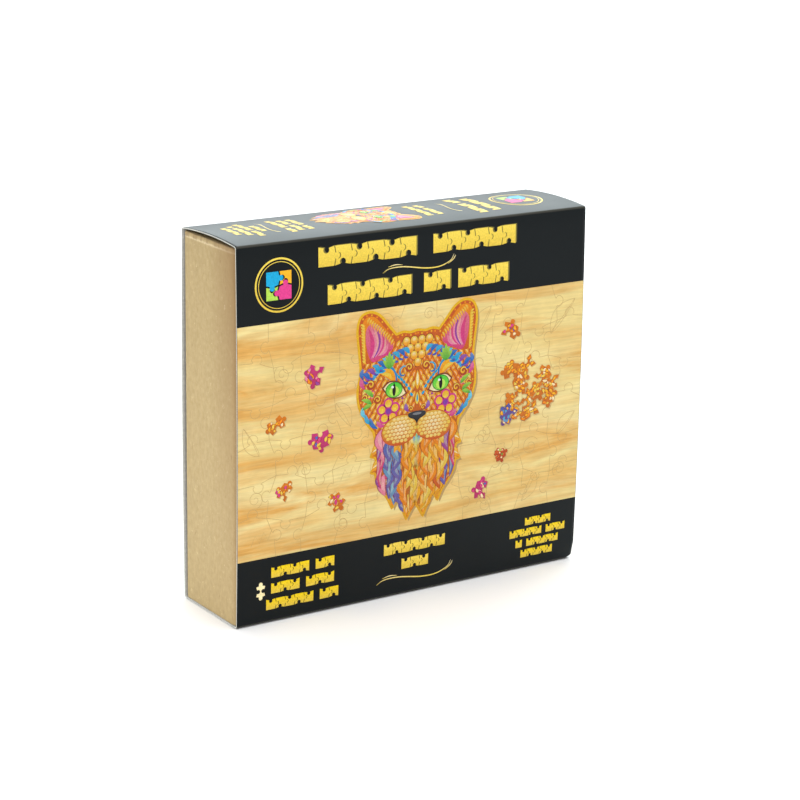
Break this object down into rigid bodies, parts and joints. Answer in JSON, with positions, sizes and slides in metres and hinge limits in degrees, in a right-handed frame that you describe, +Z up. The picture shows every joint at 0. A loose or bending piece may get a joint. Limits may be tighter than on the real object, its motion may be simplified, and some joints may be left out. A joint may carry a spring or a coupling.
{
  "type": "boxed jigsaw puzzle",
  "caption": "Boxed wooden jigsaw puzzle: a printed sleeve, a kraft tray that slides through it, and a cut cat-head board stored inside in two halves.",
  "frame": {"origin": "centre of the footprint, on the bottom panel's underside", "axes": "+X along the sleeve's open axis, towards the right open end; -Y is the picture side; +Z up"},
  "size_m": [0.19, 0.0512, 0.1772],
  "materials": {
    "printed_board": "satin",
    "kraft_board": "matte",
    "plywood": "satin",
    "leaflet_paper": "matte"
  },
  "bodies": {
    "sleeve": {"sleeve_back_panel": "printed_board", "sleeve_bottom_panel": "printed_board", "sleeve_front_panel": "printed_board", "sleeve_glue_flap": "printed_board", "sleeve_top_panel": "printed_board"},
    "tray": {"lower_left_corner_tab": "kraft_board", "lower_right_corner_tab": "kraft_board", "tray_base": "kraft_board", "tray_bottom_wall": "kraft_board", "tray_left_end_wall": "kraft_board", "tray_right_end_wall": "kraft_board", "tray_top_wall": "kraft_board", "upper_left_corner_tab": "kraft_board", "upper_right_corner_tab": "kraft_board"},
    "crown_half": {"pieces_row_08_left": "plywood", "pieces_row_08_right": "plywood", "pieces_row_09_left": "plywood", "pieces_row_09_right": "plywood", "pieces_row_10_left": "plywood", "pieces_row_10_right": "plywood", "pieces_row_11_left": "plywood", "pieces_row_11_right": "plywood", "pieces_row_12_left": "plywood", "pieces_row_12_right": "plywood", "pieces_row_13_left": "plywood", "pieces_row_13_right": "plywood", "pieces_row_14_left": "plywood", "pieces_row_14_right": "plywood", "pieces_row_15_left": "plywood", "pieces_row_15_right": "plywood"},
    "beard_half": {"pieces_row_02_left": "plywood", "pieces_row_02_right": "plywood", "pieces_row_03_left": "plywood", "pieces_row_03_right": "plywood", "pieces_row_04_left": "plywood", "pieces_row_04_right": "plywood", "pieces_row_05_left": "plywood", "pieces_row_05_right": "plywood", "pieces_row_06_left": "plywood", "pieces_row_06_right": "plywood", "pieces_row_07_left": "plywood", "pieces_row_07_right": "plywood"},
    "leaflet": {"picture_leaflet": "leaflet_paper"}
  },
  "joints": [
    {"name": "tray_slide", "type": "slide", "parent": "sleeve", "child": "tray", "axis": [1, 0, 0], "range_m": [-0.195, 0.195]},
    {"name": "crown_half_lift_out", "type": "slide", "parent": "tray", "child": "crown_half", "axis": [0, -1, 0], "range_m": [0, 0.03]},
    {"name": "beard_half_lift_out", "type": "slide", "parent": "tray", "child": "beard_half", "axis": [0, -1, 0], "range_m": [0, 0.02]},
    {"name": "leaflet_lift_out", "type": "slide", "parent": "tray", "child": "leaflet", "axis": [0, -1, 0], "range_m": [0, 0.01]}
  ],
  "couplings": [
    {"joint": "beard_half_lift_out", "follows": "crown_half_lift_out", "ratio": 0.66667},
    {"joint": "leaflet_lift_out", "follows": "crown_half_lift_out", "ratio": 0.33333}
  ]
}
